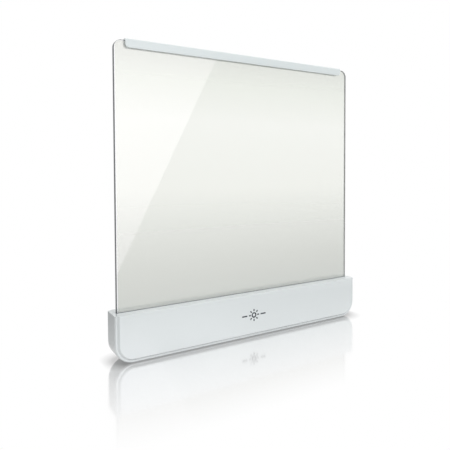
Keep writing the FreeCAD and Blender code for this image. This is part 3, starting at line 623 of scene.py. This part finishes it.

# The laser leaves the edge clear but finely ribbed across the sheet. Its light and shade are painted
# by the angle it is seen at: seen aslant, along the length of the sheet, it is painted dark grey but
# for a clear strip along the front, and seen end on it is painted pale with two grey outlines of
# painted shade along the arrises.
RIB_SIZE = 0.6 * MM
DARK_FROM = -1.1 * MM
DARK_INSIDE = 0.35 * MM
ARRIS_FROM = 1.0 * MM
END_ON = 0.3
ASLANT = 0.6
cut_edge, tree, out = new_material("laser-cut acrylic edge with painted shade")
where = add(tree, "ShaderNodeTexCoord")
split = add(tree, "ShaderNodeSeparateXYZ", [(0, where.outputs["Object"])])
ribs = add(tree, "ShaderNodeTexNoise", [("Vector", where.outputs["Object"])], Scale=1 / RIB_SIZE, Detail=3.0)
grey = add(tree, "ShaderNodeMixRGB", [(0, ribs.outputs["Fac"])],
           Color1=linear("202226"), Color2=linear("34363C"))
bump = add(tree, "ShaderNodeBump", [("Height", ribs.outputs["Fac"])], Distance=0.01 * MM)
painted_dark_edge = add(tree, "ShaderNodeBsdfPrincipled", [
    ("Base Color", grey.outputs[0]),
    ("Normal", bump.outputs["Normal"]),
], Roughness=0.25, IOR=ACRYLIC_IOR)
rear = add(tree, "ShaderNodeMath", [(0, split.outputs["Y"]), (1, DARK_FROM)], operation="GREATER_THAN")
fore = add(tree, "ShaderNodeMath", [(0, split.outputs["Y"]), (1, DARK_INSIDE)], operation="LESS_THAN")
side_of_face = add(tree, "ShaderNodeNewGeometry")
slant = add(tree, "ShaderNodeLayerWeight", Blend=0.5)
aslant = add(tree, "ShaderNodeMapRange", [("Value", slant.outputs["Facing"])], From_Min=END_ON, From_Max=ASLANT)
painted_dark_outside = add(tree, "ShaderNodeMath", [
    (0, rear.outputs[0]),
    (1, aslant.outputs[0]),
], operation="MULTIPLY")
dark = add(tree, "ShaderNodeMixRGB", [
    (0, side_of_face.outputs["Backfacing"]),
    (1, painted_dark_outside.outputs[0]),
    (2, fore.outputs[0]),
])
from_middle = add(tree, "ShaderNodeMath", [(0, split.outputs["Y"])], operation="ABSOLUTE")
arris = add(tree, "ShaderNodeMath", [
    (0, from_middle.outputs[0]),
    (1, ARRIS_FROM),
], operation="GREATER_THAN")
painted_end_colour = add(tree, "ShaderNodeMixRGB", [(0, arris.outputs[0])],
                 Color1=linear("D2D9DB"), Color2=linear("7C8287"))
painted_pale_end = add(tree, "ShaderNodeBsdfPrincipled", [
    ("Base Color", painted_end_colour.outputs[0]),
    ("Normal", bump.outputs["Normal"]),
], Roughness=0.25, IOR=ACRYLIC_IOR)
through = add(tree, "ShaderNodeBsdfTransparent", Color=linear("FDFEFE"))
let_through = add(tree, "ShaderNodeMath", [
    (0, aslant.outputs[0]),
    (1, side_of_face.outputs["Backfacing"]),
], operation="MAXIMUM")
light = add(tree, "ShaderNodeMixShader", [
    (0, let_through.outputs[0]),
    (1, painted_pale_end.outputs[0]),
    (2, through.outputs[0]),
])
edge_look = add(tree, "ShaderNodeMixShader", [
    (0, dark.outputs[0]),
    (1, light.outputs[0]),
    (2, painted_dark_edge.outputs[0]),
])
tree.links.new(edge_look.outputs[0], out.inputs[0])

panel = new_piece("panel_sheet", sheet_mesh, "base", "clear_acrylic", acrylic, cut_edge)
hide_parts("light_panel")

# ---- Top cap ----
# A channel extruded in white acrylic and pressed over the panel's top edge. It is satin outside, and
# has a faint even glow painted into it, standing for light that the panel would bring up to it.
CAP_EDGE = 0.15 * MM
CAP_PAINTED_GLOW = 0.13

finish_with(moulded_plastic("extruded white acrylic with painted glow", "D6DCDC", 0.3, wave_mm=12, glow=CAP_PAINTED_GLOW), "top_cap")
soften("top_cap", CAP_EDGE)

# ---- Panel seats and reflectors ----
# Two seats moulded in natural nylon, milky and waxy, are pushed into the base and hold the panel's
# lower corners. Beside the lamps stand two strips of white polyester film, matt with a fine fibre.


def grained(name, dark, light, grain_mm, roughness, metal=0.0, relief_mm=0.0, stretch=(1, 1, 1)):
    """A material whose colour wanders between two tones in a grain of this size."""
    made, tree, out = new_material(name)
    where = add(tree, "ShaderNodeTexCoord")
    scaled = add(tree, "ShaderNodeMapping", [(0, where.outputs["Object"])], Scale=stretch)
    grain = add(tree, "ShaderNodeTexNoise", [("Vector", scaled.outputs[0])],
                Scale=1 / (grain_mm * MM), Detail=3.0)
    tone = add(tree, "ShaderNodeMixRGB", [(0, grain.outputs["Fac"])],
               Color1=linear(dark), Color2=linear(light))
    bump = add(tree, "ShaderNodeBump", [("Height", grain.outputs["Fac"])], Distance=relief_mm * MM)
    body = add(tree, "ShaderNodeBsdfPrincipled", [
        ("Base Color", tone.outputs[0]),
        ("Normal", bump.outputs["Normal"]),
    ], Roughness=roughness, Metallic=metal)
    tree.links.new(body.outputs[0], out.inputs[0])
    return made


nylon = grained("natural nylon", "D9D7CC", "E6E4DA", 4, 0.4, relief_mm=0.01)
finish_with(nylon, "panel_seat_left", "panel_seat_right")
film = grained("white polyester film", "F0F1F0", "FAFBFA", 0.3, 0.6, relief_mm=0.004, stretch=(0.2, 1, 1))
finish_with(film, "reflector_front", "reflector_rear")

# ---- Spring, contacts and screws ----
# The battery spring and contacts are bent from spring steel strip and nickel plated: bright and warm,
# drawn along the strip. The screws are zinc plated, so duller and a little blue.
nickel = grained("nickel-plated steel", "B9B6AE", "D6D3CC", 0.5, 0.28,
                 metal=1.0, relief_mm=0.002, stretch=(1, 1, 0.1))
finish_with(nickel, "battery_spring", "spring_plate", "positive_contact")
zinc = grained("zinc-plated steel", "A9AEB4", "C6CACF", 0.4, 0.35, metal=1.0, relief_mm=0.003)
finish_with(zinc, "cover_screws", "board_screws")

# ---- Components on the boards ----
# Soldered parts, each in its own stuff: a chip in moulded black epoxy with the fine pitting of an
# etched mould, an inductor of grainy grey ferrite, a capacitor of matt tan ceramic, and resistors in
# a smooth black glaze.
epoxy = grained("moulded black epoxy", "18191A", "242526", 0.15, 0.6, relief_mm=0.006)
finish_with(epoxy, "driver_chip")
ferrite = grained("sintered ferrite", "2B2C2E", "414244", 0.25, 0.7, relief_mm=0.01)
finish_with(ferrite, "inductor")
ceramic = grained("tan ceramic", "8A6F50", "A1845F", 0.2, 0.55)
finish_with(ceramic, "capacitor")
glaze = grained("black resistor glaze", "141517", "222326", 0.3, 0.3)
finish_with(glaze, *[f"resistor_{number}" for number in range(1, 5)])

# ---- Switch ----
# The switch's housing is pressed from tin plate, bright and drawn along its length, and soldered to
# the board. Its stem is moulded in black acetal, smooth and satin.
tin_plate = grained("tin-plated sheet", "B4B6B8", "CDCFD0", 0.6, 0.32,
                    metal=1.0, relief_mm=0.003, stretch=(0.1, 1, 1))
finish_with(tin_plate, "switch_body")
acetal = grained("black acetal", "1B1C1E", "26272A", 1.5, 0.35)
finish_with(acetal, "switch_stem")

# ---- Leads ----
# Stranded wire in PVC, red for plus and black for minus, soldered at both ends. The insulation is
# satin, with slow bands where it was drawn.
red_pvc = grained("red PVC insulation", "A51C1A", "BE2A24", 2, 0.38, relief_mm=0.01)
finish_with(red_pvc, "battery_lead_plus", "lamp_lead_plus")
black_pvc = grained("black PVC insulation", "17181A", "25262A", 2, 0.38, relief_mm=0.01)
finish_with(black_pvc, "battery_lead_minus", "lamp_lead_minus")

# ---- Circuit boards ----
# The lamp strip's board has white solder mask, so that it throws light up, and the control board a
# green one, screwed down. Under the mask run copper tracks, seen as slightly raised lines.
TRACK_PITCH = 6.4 * MM
TRACK_STARTS = 0.62
TRACK_FULL = 0.7
TRACK_RELIEF = 0.03 * MM

for node, mask, track, axis in (
    ("led_board", "EDEEEA", "DFE1DB", "Y"),
    ("control_board", "1F6B3F", "2F8552", "Z"),
):
    made, tree, out = new_material(f"solder mask on {node}")
    where = add(tree, "ShaderNodeTexCoord")
    lines = add(tree, "ShaderNodeTexWave", [("Vector", where.outputs["Object"])], bands_direction=axis,
                Scale=1 / TRACK_PITCH, Distortion=1.5, Detail=1.0, Detail_Scale=0.6)
    tracks = add(tree, "ShaderNodeMapRange", [("Value", lines.outputs["Fac"])],
                 From_Min=TRACK_STARTS, From_Max=TRACK_FULL)
    tone = add(tree, "ShaderNodeMixRGB", [(0, tracks.outputs[0])], Color1=linear(mask), Color2=linear(track))
    bump = add(tree, "ShaderNodeBump", [("Height", tracks.outputs[0])], Distance=TRACK_RELIEF)
    body = add(tree, "ShaderNodeBsdfPrincipled", [
        ("Base Color", tone.outputs[0]),
        ("Normal", bump.outputs["Normal"]),
    ], Roughness=0.3)
    tree.links.new(body.outputs[0], out.inputs[0])
    finish_with(made, node)

# ---- Lamps ----
# Light-emitting diodes soldered to the lamp strip: a white moulded case, and in its round well the
# yellow phosphor gel. They stand 20 mm apart, at odd multiples of 10 mm.
LED_PITCH = 20 * MM
WELL_RADIUS = 1.15 * MM
WELL_SHARPNESS = 0.95

made, tree, out = new_material("white LED case with phosphor")
where = add(tree, "ShaderNodeTexCoord")
split = add(tree, "ShaderNodeSeparateXYZ", [(0, where.outputs["Object"])])
phase = add(tree, "ShaderNodeMath", [(0, split.outputs["X"]), (1, LED_PITCH / 2)], operation="PINGPONG")
off_axis = add(tree, "ShaderNodeMath", [(0, phase.outputs[0]), (1, LED_PITCH / 2)], operation="SUBTRACT")
flat = add(tree, "ShaderNodeCombineXYZ", [(0, off_axis.outputs[0]), (1, split.outputs["Y"])])
radius = add(tree, "ShaderNodeVectorMath", [(0, flat.outputs[0])], operation="LENGTH")
gel = add(tree, "ShaderNodeMapRange", [("Value", radius.outputs["Value"])],
          From_Min=WELL_RADIUS, From_Max=WELL_RADIUS * WELL_SHARPNESS)
tone = add(tree, "ShaderNodeMixRGB", [(0, gel.outputs[0])], Color1=linear("F2F1EC"), Color2=linear("E3C247"))
body = add(tree, "ShaderNodeBsdfPrincipled", [("Base Color", tone.outputs[0])], Roughness=0.35)
tree.links.new(body.outputs[0], out.inputs[0])
finish_with(made, *[f"led_{number}" for number in range(1, 9)])

# ---- Cells ----
# AAA cells in a plain printed shrink sleeve: pale grey, with a green band near the raised end and
# bare steel at both ends. The sleeve is glossy, and puckers a little over the edges.
CELL_LENGTH = 44.5 * MM
BAY_START = -78 * MM
SLEEVE_FROM = 0.03
SLEEVE_TO = 0.945
STEEL = "B7B4AC"
BANDS = ((0.7, "F2F4F4"), (0.715, "3C8F5A"), (0.93, "F2F4F4"), (SLEEVE_TO, STEEL))
PUCKER_SIZE = 1.8 * MM

made, tree, out = new_material("printed PVC sleeve on steel")
where = add(tree, "ShaderNodeTexCoord")
split = add(tree, "ShaderNodeSeparateXYZ", [(0, where.outputs["Object"])])
from_start = add(tree, "ShaderNodeMath", [
    (0, split.outputs["X"]),
    (1, BAY_START - 3 * CELL_LENGTH),
], operation="SUBTRACT")
along = add(tree, "ShaderNodeMath", [(0, from_start.outputs[0]), (1, CELL_LENGTH)], operation="MODULO")
share = add(tree, "ShaderNodeMath", [(0, along.outputs[0]), (1, CELL_LENGTH)], operation="DIVIDE")
printed = add(tree, "ShaderNodeValToRGB", [(0, share.outputs[0])])
printed.color_ramp.interpolation = "CONSTANT"
bands = printed.color_ramp.elements
bands[0].position, bands[0].color = 0.0, linear(STEEL)
bands[1].position, bands[1].color = SLEEVE_FROM, linear("D3D6D8")
for position, colour in BANDS:
    bands.new(position).color = linear(colour)
bare = add(tree, "ShaderNodeValToRGB", [(0, share.outputs[0])])
bare.color_ramp.interpolation = "CONSTANT"
ends = bare.color_ramp.elements
ends[0].position, ends[0].color = 0.0, (1, 1, 1, 1)
ends[1].position, ends[1].color = SLEEVE_FROM, (0, 0, 0, 1)
ends.new(SLEEVE_TO).color = (1, 1, 1, 1)
pucker = add(tree, "ShaderNodeTexNoise", [("Vector", where.outputs["Object"])],
             Scale=1 / PUCKER_SIZE, Detail=2.0)
bump = add(tree, "ShaderNodeBump", [("Height", pucker.outputs["Fac"])], Distance=0.02 * MM)
body = add(tree, "ShaderNodeBsdfPrincipled", [
    ("Base Color", printed.outputs["Color"]),
    ("Metallic", bare.outputs["Color"]),
    ("Normal", bump.outputs["Normal"]),
], Roughness=0.27)
tree.links.new(body.outputs[0], out.inputs[0])
finish_with(made, "cell_1", "cell_2", "cell_3")
